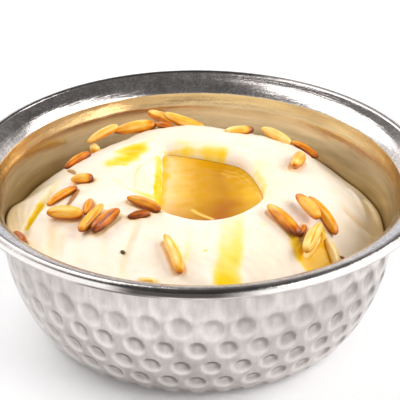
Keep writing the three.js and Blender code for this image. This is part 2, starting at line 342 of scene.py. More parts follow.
cameraData = bpy.data.cameras.new("camera")
cameraData.sensor_width = view["sensor"]
cameraData.lens = view["lens"]
cameraData.clip_start = 0.01
camera = addObject("camera", cameraData)
tilt = np.radians(view["elevation"])
eye = np.array(view["aim"]) + view["distance"] * np.array([0, -np.cos(tilt), np.sin(tilt)])
camera.matrix_world = (
    Matrix.Translation(Vector(eye * mm))
    @ Matrix.Rotation(float(np.pi / 2 - tilt), 4, "X")
    @ Matrix.Rotation(float(np.radians(view["roll"])), 4, "Z")
)
bpy.context.scene.camera = camera

for lightName, (direction, distance, width, height, power) in lights.items():
    lamp = bpy.data.lights.new(lightName, "AREA")
    lamp.shape = "RECTANGLE"
    lamp.size = width
    lamp.size_y = height
    lamp.energy = power
    lamp.color = lightColor
    holder = addObject(lightName, lamp)
    toLight = Vector(direction).normalized()
    holder.location = toLight * distance
    holder.rotation_euler = toLight.to_track_quat("Z", "Y").to_euler()

world = bpy.data.worlds.new("studio")
bpy.context.scene.world = world
world.use_nodes = True
skyTree = world.node_tree
skyAxes = axisValues(skyTree, addNode(skyTree, "ShaderNodeTexCoord").outputs["Generated"])
skyHeight = mathNode(skyTree, "MULTIPLY_ADD", skyAxes["Y"], sky["backTilt"], skyAxes["Z"])
skyHeight = mathNode(skyTree, "MULTIPLY_ADD", skyAxes["X"], sky["sideTilt"], skyHeight)
skyColor = colorRamp(skyTree, skyHeight, [(place, grey(level)) for place, level in sky["bands"]])
behind = mapRange(skyTree, skyAxes["Y"], *sky["backSpread"])
skyColor = mixColor(skyTree, behind, skyColor, sky["back"])
inFront = mathNode(skyTree, "MULTIPLY", mapRange(skyTree, skyAxes["Y"], *sky["frontSpread"]),
                   mapRange(skyTree, skyAxes["Z"], *sky["frontAbove"]))
skyColor = mixColor(skyTree, inFront, skyColor, grey(sky["front"]))
skyTree.links.new(skyColor, skyTree.nodes["Background"].inputs["Color"])

floorMesh = bpy.data.meshes.new("floor")
half = floorLook["halfSize"]
corners = [(x * half, y * half, 0) for x, y in ((-1, -1), (1, -1), (1, 1), (-1, 1))]
floorMesh.from_pydata(corners, [], [(0, 1, 2, 3)])
floor = addObject("floor", floorMesh)
floorMaterial, floorTree, floorShader, floorPlace = newMaterial("paper")
paperMask = mottle(floorTree, floorPlace, 40.0, 0.6)
fillInputs(floorTree, floorShader, {
    "Base Color": mixColor(floorTree, paperMask, *floorLook["tones"]),
    "Roughness": floorLook["roughness"],
})
floorMesh.materials.append(floorMaterial)
bpy.context.scene.view_settings.view_transform = "Standard"
bpy.context.scene.view_settings.look = "None"
print("camera, lights and floor placed")

bowlLook = {
    "columns": 720,
    "wallRows": 108,
    "insideRows": 13,
    "curveSteps": 3,             # rows between two points of the flare, flange and throat
    "sheet": 1.4,
    # profiles as (radius, height): base, outside of the wall, underside of the flange, the
    # nearly flat flange that bends down to a crease, and the steeper throat inside it
    "base": [(20, 0), (39.6, 0), (40.9, 0.12)],
    "wall": [(41.7, 0), (50.8, 2.4), (54.8, 6.8), (58.6, 14.5), (61.7, 24.2), (63.2, 36.3),
             (63.5, 45.5)],
    "flare": [(63.74, 45.3), (64.35, 45.95), (65.5, 46.95), (68.2, 48.85), (70.9, 50.5)],
    "flange": [(72.08, 53.36), (71.2, 53.06), (70.0, 52.7), (69.0, 52.33), (68.2, 51.93),
               (67.5, 51.46), (66.9, 50.96), (66.3, 50.38), (65.75, 49.8), (65.3, 49.28),
               (65.06, 48.96)],
    "throat": [(64.93, 48.74), (64.60, 47.9), (64.19, 46.95), (63.68, 45.85), (63.15, 44.7),
               (62.80, 43.4), (62.48, 41.9), (62.2, 40.4)],
    "crease": (48.95, 48.6),     # heights between which the flange turns into the inside
    # rolled edge: its middle, half its width, how far it reaches above and below, and where
    # its outline starts and ends, in degrees up from its outermost line
    "beadCentre": (72.9, 51.75),
    "beadWidth": 1.98,
    "beadAbove": 2.24,
    "beadBelow": 1.25,
    "beadTurn": (-140, 106),
    "beadRows": 30,
    # hammer marks: radius, distance between rows along the wall, the first row's place, and
    # how much their place, size and depth vary
    "markRadius": 2.95,
    "markPitch": 7.9,
    "firstMark": 12.0,
    "marksRound": 42,
    "markVaries": (0.16, 0.035, 0.08),
    # for each row from the bottom: depth, how soft its edge is (1 crisp, 2 soft), size
    "markDepth": (0.62, 0.74, 0.78, 0.72, 0.46, 0.28),
    "markEdge": (1.1, 1.1, 1.15, 1.3, 1.7, 2.0),
    "markSpread": (0.88, 0.96, 0.98, 1.02, 1.22, 1.35),
    "evenRows": 3,               # rows above these are sharper and deeper at the right
    "lip": 0.03,                 # metal pushed up round a mark
    # bands round the rolled edge, in radians up from its outermost line, for its painted shade,
    # dark reflections and painted highlight
    "underside": (-0.75, -1.2),
    "shadedUnderside": (0.15, -0.10),
    "face": (-0.10, 0.10, 0.70, 0.95),
    "highlightBand": (-0.10, 0.25, 0.60, 0.90),
    "shoulder": (0.62, 0.80, 1.05, 1.25),
    "notch": (1.62, 1.80),
    "patternRadius": 7,          # of the circle that patterns round the dish are laid on
    # bands round the dish, in degrees from the right towards the back, for painted shade high
    # inside, under the edge and along its front
    "paintedShadeSide": (100, 116, 142, 172),
    "underShadeBand": (240, 247, 257, 266),
    "frontShadeBand": (249, 257, 273, 286),
    "steel": (196, 189, 186),
    "steelShift": (-30, 26),
    "speck": (112, 108, 104),
    # painted shade inside the marks, most at their upper right, with a little dirt
    "pitShadeAndDirt": (118, 107, 97),    # dirt down in the marks
    # painted highlight along the marks' lower left rims and on the rolled edge's outer side, with
    # some polish
    "polishAndPaintedHighlight": (238, 233, 230),   # polished steel round the marks and on the rolled edge
    # painted shade and dark reflections round the rolled edge and on the wall just under it
    "paintedRimShade": (78, 74, 71),        # dark steel round the rolled edge
    # inside, a painted reflection of the hummus: just under the flange and lower down, each a dark
    # and a light tone
    "insideTop": ((194, 158, 106), (230, 196, 136)),
    "insideLow": ((190, 177, 146), (226, 211, 180)),
    "insideChange": (46.8, 40.5),
    # painted shade high up inside at the back left
    "insidePaintedShade": (150, 116, 76),
    "roughness": 0.15,
    "insideRoughness": 0.18,
}

wallCurve = splineThrough(bowlLook["wall"], 300)
wallRun = np.concatenate([[0], np.cumsum(np.hypot(*np.diff(wallCurve, axis=0).T))])
wallLength = wallRun[-1]


# A point at a distance along the wall, moved inwards: p + depth * (-tangent y, tangent x)
def wallPoint(distance, depth):
    near = lambda s: np.stack([np.interp(s, wallRun, wallCurve[:, k]) for k in (0, 1)], -1)
    point = near(distance)
    run = near(np.minimum(distance + 0.1, wallLength)) - near(np.maximum(distance - 0.1, 0))
    run = run / np.linalg.norm(run, axis=-1, keepdims=True)
    side = np.stack([-run[..., 1], run[..., 0]], -1)
    return point + side * np.asarray(depth)[..., None]


innerWall = wallPoint(np.array([0.12, 0.3, 0.5, 0.7, 0.93]) * wallLength, bowlLook["sheet"])
floorHeight = innerWall[0, 1]


def innerRadius(height):
    return np.interp(height, innerWall[:, 1], innerWall[:, 0])


# Depth of the hammer marks at a distance along the wall and an angle: the deepest of
# depth * (1 - q)^edge over the six rows, with q = (r / radius)^2, less round each a lip
# exp(-((sqrt q - 1.2) / 0.2)^2), all a little moved and resized. Also a painted shade with a
# little dirt, most inside their upper right edge, and a painted highlight along their lower left
# edge.
def hammerMarks(distance, angle):
    look = bowlLook
    rng = np.random.default_rng(41)
    marksRound = look["marksRound"]
    placeVaries, sizeVaries, depthVaries = look["markVaries"]
    step = fullTurn / marksRound
    deepest, lip, pitShadeAndDirt, polishAndPaintedHighlight = np.zeros((4, *np.broadcast(distance, angle).shape))
    for row, (rowDepth, rowEdge, rowSpread) in enumerate(
            zip(look["markDepth"], look["markEdge"], look["markSpread"])):
        shiftAlong, shiftRound = rng.normal(0, placeVaries, (2, marksRound))
        size = look["markRadius"] * rowSpread * rng.normal(1, sizeVaries, marksRound)
        depth = rowDepth * rng.normal(1, depthVaries, marksRound)
        place = angle / step - 0.5 * (row % 2)
        mark = np.round(place).astype(int) % marksRound
        middle = look["firstMark"] + row * look["markPitch"]
        radius = wallPoint(np.array(middle), 0.0)[0]
        across = (place - np.round(place)) * step * radius - shiftRound[mark]
        along = distance - middle - shiftAlong[mark]
        # struck from the upper right, so steeper there, and painted shade with a little dirt lies
        # there
        side = smoothStep(-0.8, 0.8, (along + 0.7 * across) / size[mark])
        across = across * np.where(across > 0, 1.05, 0.95)
        along = along * np.where(along > 0, 0.98, 0.84)
        q = (across ** 2 + along ** 2) / size[mark] ** 2
        right = smoothStep(0.45, 0.95, np.cos(angle)) * (row >= look["evenRows"])
        crisp = np.maximum(2 - rowEdge, 0.75 * right)
        cap = np.clip(1 - q, 0, 1) ** (2 - crisp)
        deepest = np.maximum(deepest, depth[mark] * cap * (1 + 0.6 * right))
        reach = np.sqrt(q)
        lip = np.maximum(lip, look["lip"] * crisp * (1.2 - side) * fade(reach - 1.2, 0.2))
        inside = smoothStep(1.04, 0.90, reach)
        shadeAndDirt = inside * (0.12 + 0.88 * side ** 1.5 * smoothStep(0.10, 0.62, reach))
        pitShadeAndDirt = np.maximum(pitShadeAndDirt, shadeAndDirt * (0.14 + 0.86 * crisp))
        # painted highlight along the lower left rim
        bright = fade(reach - 0.95, 0.26) * (1 - side) ** 1.5 * (0.30 + 0.70 * crisp)
        polishAndPaintedHighlight = np.maximum(polishAndPaintedHighlight, bright)
    return deepest - np.where(deepest > 0, 0, lip), pitShadeAndDirt, polishAndPaintedHighlight


# The profile carried round the axis, (r cos a, r sin a, height), with the hammer marks pressed
# into the wall. The rolled edge is half an ellipse above its middle and a flatter one below.
def makeBowl():
    look = bowlLook
    angle = anglesRound(look["columns"])
    degrees = np.degrees(angle)

    def sweep(profile):
        radius, height = np.asarray(profile, float).T[..., None]
        return ringPoints((0, 0), radius, angle, height)

    distance = np.linspace(0.5, wallLength - 0.4, look["wallRows"])
    spread, bearing = np.meshgrid(distance, angle, indexing="ij")
    depth, pitShadeAndDirt, bright = hammerMarks(spread, bearing)
    radius, height = np.moveaxis(wallPoint(spread, depth), -1, 0)
    bead = np.radians(np.linspace(*look["beadTurn"], look["beadRows"]))
    reach = np.where(bead > 0, look["beadAbove"], look["beadBelow"])
    middleRadius, middleHeight = look["beadCentre"]
    flare, flange, throat = (sweep(splineThrough(look[key], look["curveSteps"]))
                             for key in ("flare", "flange", "throat"))
    insideRun = np.linspace(0.88, 0.12, look["insideRows"]) * wallLength
    parts = {
        "base": sweep(look["base"]),
        "wall": ringPoints((0, 0), radius, bearing, height),
        "flare": flare,
        "bead": sweep(np.stack([middleRadius + look["beadWidth"] * np.cos(bead),
                                middleHeight + reach * np.sin(bead)], -1)),
        "flange": flange,
        "throat": throat,
        "inside": sweep(wallPoint(insideRun, look["sheet"])),
    }
    grid = np.concatenate(list(parts.values()))
    ends = np.cumsum([len(part) for part in parts.values()])
    rows = {key: slice(end - len(parts[key]), end) for key, end in zip(parts, ends)}

    inner = smoothStep(*look["crease"], grid[..., 2])
    inner[:rows["flange"].start] = 0
    pits, polishAndPaintedHighlight, worn, paintedRimShade = np.zeros((4, *inner.shape))
    pits[rows["wall"]] = pitShadeAndDirt
    polishAndPaintedHighlight[rows["wall"]] = bright
    worn[rows["flange"].start:rows["throat"].stop] = 1
    worn = worn * (1 - inner)
    # painted shade and dark reflections under the edge, on its shoulder and in the notch at the
    # flange, a painted highlight on its outer side; painted shade along the front, and left of it
    # under the edge
    dark = np.maximum(0.75 * band(*look["shoulder"], bead),
                      smoothStep(*look["underside"], bead) + smoothStep(*look["notch"], bead))
    frontPaintedShade = band(*look["frontShadeBand"], degrees)
    underPaintedShade = 0.8 * band(*look["underShadeBand"], degrees)
    face = frontPaintedShade * band(*look["face"], bead)[:, None]
    beneath = underPaintedShade * smoothStep(*look["shadedUnderside"], bead)[:, None]
    paintedRimShade[rows["bead"]] = np.maximum(dark[:, None], np.maximum(face, beneath))
    # painted shade on the wall just under the edge, left of the front
    paintedRimShade[rows["wall"]] = 0.8 * underPaintedShade * smoothStep(44.0, 45.0, height)
    polishAndPaintedHighlight[rows["bead"]] = band(*look["highlightBand"], bead)[:, None] * (1 - frontPaintedShade)
    # painted shade high up inside at the back left, over a lamp's reflection
    paintedBackShade = 0.62 * inner * band(*look["paintedShadeSide"], degrees) * smoothStep(41.0, 45.0, grid[..., 2])
    # place along the profile and round the dish, for patterns that run round it
    run = np.concatenate([[0], np.cumsum(np.hypot(*np.diff(grid[:, 0, [0, 2]], axis=0).T))])
    circle = look["patternRadius"] * np.stack([np.cos(angle), np.sin(angle)])
    ringSpot = np.stack(np.broadcast_arrays(run[:, None], *circle), -1)
    return skinMesh("steel_bowl", grid, (0, 0, 0), (0, 0, floorHeight),
                    {"inner": inner, "pitShadeAndDirt": pits, "polishAndPaintedHighlight": polishAndPaintedHighlight, "worn": worn, "paintedRimShade": paintedRimShade,
                     "paintedBackShade": paintedBackShade, "ringSpot": ringSpot * mm})


def steelMaterial():
    look = bowlLook
    material, tree, shader, place = newMaterial("hammered_steel")
    ringSpot = attributeValue(tree, "ringSpot", "Vector")
    inner = attributeValue(tree, "inner")
    worn = attributeValue(tree, "worn")
    cloudy = mottle(tree, place, 90.0, 1.6, 4.0)
    specks = mottle(tree, place, 1300.0, 5.0, 2.0)
    brushed = mottle(tree, ringSpot, 300.0, 3.0, 4.0)
    # streaks that run down the outside
    upright = addNode(tree, "ShaderNodeVectorMath", {"operation": "MULTIPLY"},
                      {0: place, 1: (1.0, 1.0, 0.25)}).outputs[0]
    streaks = mottle(tree, upright, 330.0, 2.6, 4.0)
    uneven = mathNode(tree, "MULTIPLY", mathNode(tree, "ADD", cloudy, streaks), 0.5)
    plain = mixColor(tree, uneven, *[linear(*[v + shift for v in look["steel"]])
                                     for shift in look["steelShift"]])
    # painted highlight, painted shade in the marks, painted shade round the rolled edge
    for key in ("polishAndPaintedHighlight", "pitShadeAndDirt", "paintedRimShade"):
        plain = mixColor(tree, attributeValue(tree, key), plain, linear(*look[key]))
    # the inside is tinted tan, a painted reflection of the hummus
    top, low = (mixColor(tree, brushed, *[linear(*tone) for tone in look[key]])
                for key in ("insideTop", "insideLow"))
    lower = mapRange(tree, axisValues(tree, place)["Z"], *[v * mm for v in look["insideChange"]])
    tan = mixColor(tree, lower, top, low)
    # painted shade high up inside at the back left
    tan = mixColor(tree, attributeValue(tree, "paintedBackShade"), tan, linear(*look["insidePaintedShade"]))
    tinted = mixColor(tree, inner, plain, tan)
    speckShare = mathNode(tree, "MULTIPLY", specks, mapRange(tree, worn, 0.0, 1.0, 0.06, 0.36))
    shine = mapRange(tree, inner, 0.0, 1.0, look["roughness"], look["insideRoughness"])
    # fine grain, scratches on the flange, long soft ripples down the inside
    grain = layerBump(tree, place, 260.0, 1500.0, 0.3, 0.00014,
                      mapRange(tree, worn, 0.0, 1.0, 0.7, 0.25))
    scratches = addNode(tree, "ShaderNodeBump", inputs={
        "Height": mottle(tree, ringSpot, 1100.0, 3.0, 3.0), "Distance": 0.00004,
        "Strength": mathNode(tree, "MULTIPLY", worn, 0.9), "Normal": grain,
    }).outputs["Normal"]
    ripples = addNode(tree, "ShaderNodeBump", inputs={
        "Height": mottle(tree, ringSpot, 120.0, 1.5, 3.0), "Distance": 0.0005,
        "Strength": mathNode(tree, "MULTIPLY", inner, 0.5), "Normal": scratches,
    }).outputs["Normal"]
    fillInputs(tree, shader, {
        "Base Color": mixColor(tree, speckShare, tinted, linear(*look["speck"])),
        "Metallic": 1.0,
        "Roughness": mathNode(tree, "ADD", mathNode(tree, "MULTIPLY", cloudy, 0.08), shine),
        "Normal": ripples,
    })
    return material


bowl = makeBowl()
bowl.data.materials.append(steelMaterial())
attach(bowl, "root")
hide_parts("bowl")
print("bowl made:", len(bowl.data.polygons), "faces")

# pine nuts: tone of the middle, of the pointed tip and of the blunt end (0 pale, 1 dark), the
# groove's turn away from the side that faces up and forward (degrees), its depth, and the bend
nutLooks = {
    1: (0.34, 0.38, 0.34, 50, 0.08, 0.03), 2: (0.22, 0.20, 0.22, -40, 0.10, 0.02),
    3: (0.40, 0.58, 0.70, 30, 0.09, 0.03), 4: (0.40, 0.26, 0.44, 60, 0.08, 0.02),
    5: (0.40, 0.34, 0.60, 20, 0.10, -0.02), 6: (0.36, 0.24, 1.15, 70, 0.06, 0.02),
    7: (0.22, 0.22, 0.28, 35, 0.06, 0.02), 8: (0.76, 0.58, 0.84, -50, 0.10, 0.03),
    9: (0.48, 0.38, 0.28, 90, 0.10, 0.00), 10: (0.41, 0.78, 0.50, 40, 0.09, 0.02),
    11: (0.54, 0.62, 0.66, 20, 0.08, 0.04), 12: (0.58, 0.50, 0.92, -60, 0.08, 0.03),
    13: (0.30, 0.40, 0.28, 5, 0.18, -0.02), 14: (0.74, 0.90, 1.10, 50, 0.05, 0.00),
    15: (0.14, 0.12, 0.14, 60, 0.10, 0.02), 16: (0.56, 0.66, 0.74, 25, 0.09, 0.03),
    17: (0.88, 1.00, 0.90, 40, 0.10, 0.02), 18: (0.34, 0.36, 0.54, 30, 0.10, 0.03),
    19: (0.48, 0.36, 1.00, 60, 0.06, 0.01), 20: (0.60, 0.58, 0.84, 20, 0.10, 0.04),
    21: (0.40, 0.66, 0.50, 70, 0.09, 0.03), 22: (0.66, 0.62, 0.66, 40, 0.08, 0.01),
    23: (0.44, 0.46, 0.60, 20, 0.10, 0.02), 24: (0.75, 0.80, 0.88, 15, 0.14, -0.02),
    25: (0.66, 0.88, 0.88, -40, 0.09, 0.04), 26: (0.86, 0.94, 0.80, 40, 0.08, 0.02),
    27: (0.28, 0.84, 0.24, 30, 0.08, 0.02), 28: (0.26, 0.24, 0.24, 40, 0.06, 0.02),
    29: (0.80, 0.70, 0.90, 40, 0.06, 0.02),
}

nutShape = {
    "rows": 34,
    "columns": 36,
    "facing": (0.0, -0.62, 0.78),
    "taper": 0.80,               # below 1 it is thickest nearer its blunt end
    "fullness": 2.4,
    "thickness": (0.96, 0.88),   # from front to back and from side to side
    # flats along it: height, how many round it, how far they twist
    "flats": [(0.045, 2, 1.4), (0.038, 3, 1.2), (0.020, 5, 2.0)],
    "grooveWidth": 0.16,
    "ridge": (0.38, 0.35),       # beside the groove: how far away, and its share of the depth
    # from pale to dark
    "toasts": [(0.0, (250, 230, 172)), (0.22, (247, 210, 124)), (0.42, (239, 179, 58)),
               (0.60, (223, 140, 10)), (0.78, (186, 94, 4)), (1.0, (106, 42, 6))],
}


# Middle, axis towards the pointed end, length and width of a nut's solid
def readNut(name):
    mesh = nodes[name].data
    spots = np.zeros(len(mesh.vertices) * 3, np.float32)
    mesh.vertices.foreach_get("co", spots)
    spots = np.unique(np.round(spots.reshape(-1, 3) / mm, 4), axis=0)
    middle = spots.mean(0)
    axis = np.linalg.svd(spots - middle)[2][0]
    run = (spots - middle) @ axis
    middle = middle + axis * (run.max() + run.min()) / 2
    run = (spots - middle) @ axis
    reach = np.linalg.norm(spots - middle - run[:, None] * axis, axis=1)
    length = run.max() - run.min()
    if reach[run > 0.3 * length].max() > reach[run < -0.3 * length].max():
        axis = -axis
    return middle, axis, length, 2 * reach.max()


nutPlaces = {number: readNut(f"pine_nut_{number:02d}") for number in nutLooks}


# A kernel: at share s of its length and turn v its radius is
# width / 2 * sqrt(1 - |2 s^0.8 - 1|^2.4) * (1 + flats) less a groove along one side, a little
# flattened from front to back and from side to side, about an axis that bends by
# bend * length * sin(pi s). It has painted shade underneath and a painted highlight on top, and
# is darker in its groove and in stripes along it.
def makeNut(number):
    shape = nutShape
    tone, tipTone, bluntTone, grooveTurn, grooveDepth, bend = nutLooks[number]
    middle, axis, length, width = nutPlaces[number]
    rng = np.random.default_rng(700 + number)
    share = (1 - np.cos(np.linspace(0, np.pi, shape["rows"])[1:-1])) / 2
    turn = anglesRound(shape["columns"])
    s, v = np.meshgrid(share, turn, indexing="ij")
    facing = np.array(shape["facing"])
    front = facing - (facing @ axis) * axis
    front /= np.linalg.norm(front)
    side = np.cross(axis, front)
    swell = np.sqrt(1 - np.abs(2 * s ** shape["taper"] - 1) ** shape["fullness"])
    twist = rng.uniform(0, fullTurn, 3)
    flats = sum(size * np.cos(count * v + start + turning * s)
                for (size, count, turning), start in zip(shape["flats"], twist))
    away = v - np.radians(grooveTurn) - 0.15 * np.sin(fullTurn * s)
    away = np.abs(np.angle(np.exp(1j * away)))
    fromBlunt = smoothStep(0.06, 0.22, s)
    grooveWidth = shape["grooveWidth"]
    ridgeAway, ridgeShare = shape["ridge"]
    groove = grooveDepth * fade(away, grooveWidth) * fromBlunt * smoothStep(0.97, 0.8, s)
    ridge = ridgeShare * grooveDepth * fade(away - ridgeAway, grooveWidth) * fromBlunt
    radius = width / 2 * swell * (1 + flats - groove + ridge)
    bent = bend * length * (np.sin(np.pi * s) - 0.6)
    frontThickness, sideThickness = shape["thickness"]
    grid = (middle + axis * ((s - 0.5) * length)[..., None]
            + front * (radius * np.cos(v) * frontThickness)[..., None]
            + side * (radius * np.sin(v) * sideThickness + bent)[..., None])
    ends = [middle + axis * (e * length) + side * (-0.6 * bend * length) for e in (-0.5, 0.5)]
    own = np.stack([s * length * 0.16, radius * np.cos(v), radius * np.sin(v)], -1)
    toast = tone + (tipTone - tone) * smoothStep(0.62, 0.98, s)
    toast = toast + (bluntTone - tone) * smoothStep(0.34, 0.02, s)
    toast = toast + 0.08 * wobble(own * [2.2, 1, 1], 2.4, 900 + number) + 1.6 * groove - 0.8 * ridge
    # painted shade underneath and a painted highlight along the top
    upward = front[2] * np.cos(v) + side[2] * np.sin(v)
    toast = toast + 0.28 * smoothStep(0.25, -0.6, upward) - 0.06 * smoothStep(0.5, 1.0, upward)
    toast = toast + 0.07 * np.cos(6 * v + twist[1] + 1.5 * s) * np.sin(np.pi * s)
    toast = toast + 0.16 * smoothStep(0.93, 1.0, s) + 0.10 * smoothStep(0.06, 0.0, s)
    piece = skinMesh(f"kernel_{number:02d}", grid, ends[0], ends[1],
                     {"toast": np.clip(toast, 0, 1.1), "ownSpot": own * mm})
    piece.data.materials.append(nutMaterial)
    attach(piece, "root")
    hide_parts(f"pine_nut_{number:02d}")


def nutSkin():
    material, tree, shader, place = newMaterial("toasted_kernel")
    own = attributeValue(tree, "ownSpot", "Vector")
    streaks = mottle(tree, own, 1500.0, 1.5, 3.0)
    blotches = mottle(tree, place, 420.0, 1.4, 3.0)
    level = mathNode(tree, "ADD", attributeValue(tree, "toast"), sway(tree, streaks, 0.20))
    level = mathNode(tree, "ADD", level, sway(tree, blotches, 0.16), clamp=True)
    fillInputs(tree, shader, {
        "Base Color": toneRamp(tree, level, nutShape["toasts"]),
        "Specular IOR Level": 0.22,
        "Subsurface Weight": 0.20,
        "Subsurface Radius": (1.0, 0.5, 0.2),
        "Subsurface Scale": 0.0012,
        "Roughness": mapRange(tree, streaks, 0.0, 1.0, 0.26, 0.44),
        "Coat Weight": 0.35,
        "Coat Roughness": 0.07,
        "Normal": layerBump(tree, own, 900.0, 2600.0, 0.4, 0.00012, 0.55),
    })
    return material


nutMaterial = nutSkin()
for nutNumber in nutLooks:
    makeNut(nutNumber)
print("pine nuts made:", len(nutLooks))

hummusLook = {
    "columns": 600,
    "slopeRows": 116,
    # crest: height, parts with cos a, sin a and cos 2a, and radius
    "crest": (47.6, 0.2, 1.8, -0.3),
    "crestRadius": 22.0,
    "shoulderPower": 2.3,
    # where it meets the wall: height and parts with cos a, sin a and sin 2a, then a smear
    # pushed up the wall at the right: height, angle and spread
    "contact": (32, -4.4, -1.9, 4.5),
    "smear": (2.2, 0.17, 0.03),
    # rounding into the well: width and parts with sin b and cos b, then the crisp lip at the
    # back right: how much narrower, bearing and spread
    "lipWidth": (4, 3.5, -1.5),
    "crispLip": (0.45, 0.88, 0.36),
    "unevenness": [(0.26, 14, 5), (0.11, 5, 6), (0.03, 1.8, 7)],    # height, wave length, seed
    "oilLevel": 44.5,
    "oilDepth": 8.0,
    "wellCentre": (4.0, 2.5),
    "wallGap": 0.12,
    "cream": (241, 230, 218),
    "creamShade": (238, 220, 196),
    "fleck": (236, 214, 172),
    # oil stain and painted contact shadow round the nuts
    "oilStainAndShadow": (238, 182, 46),         # round the nuts
    # painted shade in the folds and down by the wall
    "tan": (240, 208, 142),          # in the folds and down by the wall
    "brown": (132, 92, 44),          # where it meets the steel
    # oil on it, from a trace to a thick film
    "oils": [(0.0, (244, 230, 196)), (0.30, (244, 222, 150)), (0.60, (244, 212, 108)),
             (0.85, (244, 202, 42)), (1.0, (241, 188, 14))],
}

wellOutline = [
    (20.4, -7.2), (12.8, -16.8), (3.4, -20.6), (-5.5, -18.2), (-11.5, -12.3), (-11.5, 0.7),
    (-11.5, 13), (-11.1, 24), (-2.7, 22.8), (5.6, 19.9), (14.4, 15), (19, 4.6),
]

# broad dents: x, y, spread, depth; a swelling has a depth below nought
dents = [
    (-55, 16, 9, 2.5), (52, -9, 5, 1.2), (-44, -28, 6, 1), (-19, -30, 5, 0.8),
    (48, 17, 12, 2), (45, 31, 8, 1.8), (-10, 38, 17, -1.9),
]

# fine folds: line, half width, depth (a ridge is below nought), how much painted shade (tan) they
# get
folds = [
    # the lobe at the left, set off by a deep groove and combed along its length
    ([(-46.6, 11.6), (-47.6, 1.1), (-49.2, -5.9), (-51.4, -12.6), (-53.1, -17.7), (-53.6, -26.0)],
     1.1, 1.6, 0.35),
    ([(-44.6, 4.5), (-46.5, -3.4), (-47.9, -9.4), (-50.0, -14.6), (-51.4, -19.8), (-51.6, -24.0)],
     1.5, -0.45, 0),
    ([(-59.5, 1.7), (-57.9, -8.9), (-55.7, -18.0), (-54.2, -24.9)], 0.6, 0.4, 0.8),
    ([(-56.9, 1.7), (-56.1, -7.7), (-54.6, -17.5)], 0.6, 0.3, 0.6),
    ([(-61.0, -0.1), (-59.1, -10.0), (-56.6, -19.9)], 0.6, 0.4, 0.9),
    ([(-53.8, 3.7), (-54.1, -5.1), (-53.8, -12.9)], 0.5, 0.3, 0.3),
    # soft creases down the front
    ([(-44.4, -18.1), (-44.3, -25.7), (-44.1, -31.6), (-43.4, -38.3)], 1.7, 0.9, 0.5),
    ([(-42.0, -23.6), (-41.8, -30.1), (-41.2, -39.3)], 1.2, 0.4, 0.3),
    ([(-47.4, -22.5), (-47.3, -28.1), (-47.0, -32.7)], 1.4, -0.45, 0),
    ([(-18.1, -19.4), (-19.4, -26.9), (-20.7, -32.5), (-21.6, -38.4), (-22.3, -44.0),
      (-22.4, -50.9)], 1.3, 0.8, 0.4),
    ([(-16.1, -20.5), (-17.1, -27.9), (-18.3, -33.8), (-19.0, -39.9), (-19.4, -48.4)],
     1.6, -0.5, 0),
    ([(-36.5, -24.4), (-36.4, -33.1), (-35.4, -39.4), (-34.2, -45.8)], 1.8, 0.4, 0.12),
    ([(-28.2, -25.7), (-28.4, -34.7), (-27.8, -42.0), (-26.6, -48.9)], 1.8, 0.35, 0.1),
    ([(1.7, -37.5), (1.7, -44.1), (2.3, -50.8)], 2.2, -0.45, 0),
    ([(-2.9, -23.0), (-3.1, -34.5), (-3.4, -44.2)], 1.8, 0.4, 0.1),
    ([(19.7, -24.9), (21.9, -33.8), (25.4, -40.7)], 2.4, 0.35, 0.1),
    # round the well
    ([(-13.6, 15.5), (-16.6, 12.6), (-19.2, 9.5), (-20.3, 5.0), (-20.1, -0.7), (-18.7, -4.8)],
     0.7, 0.5, 0.15),
    ([(-18.2, 13), (-17.2, 6), (-16.8, -1)], 1.6, -0.5, 0),
    ([(-30, 30), (-24.5, 24.5), (-17, 27), (-12, 31)], 2.0, -0.35, 0),
    ([(8, 27), (18, 23), (26, 14), (29, 4)], 2.2, 0.4, 0.1),
    ([(12, 32), (24, 26), (33, 14), (36, 2)], 2.6, -0.35, 0),
    ([(-8, -26), (4, -28.5), (16, -26)], 2.4, -0.3, 0),
    # the ear at the right
    ([(46.0, -1.5), (49.2, -3.2), (52.3, -4.2), (55.4, -4.6), (59.0, -3.6)], 1.4, 1.1, 0.6),
    ([(45.4, -6.5), (50.0, -8.2), (53.4, -9.0), (57.0, -8.4)], 2.0, -1.1, 0),
    ([(49.6, 18.0), (52.0, 12.5), (53.6, 4.0), (55.2, -3.0)], 1.1, -0.7, 0),
    ([(54.0, 18.0), (56.0, 11.0), (57.6, 2.0)], 1.2, 0.9, 0.7),
    ([(56.9, 15.0), (58.6, 7.0), (59.6, 0.0)], 0.6, -0.4, 0.2),
]

# places of painted shade (tan): x, y, spread, strength
tanPlaces = [(54.8, 3.6, 4.6, 0.45), (58.5, 8.0, 3.0, 0.3),
             (-57.2, -12.0, 5.0, 0.5), (-55.0, -21.0, 3.2, 0.6)]

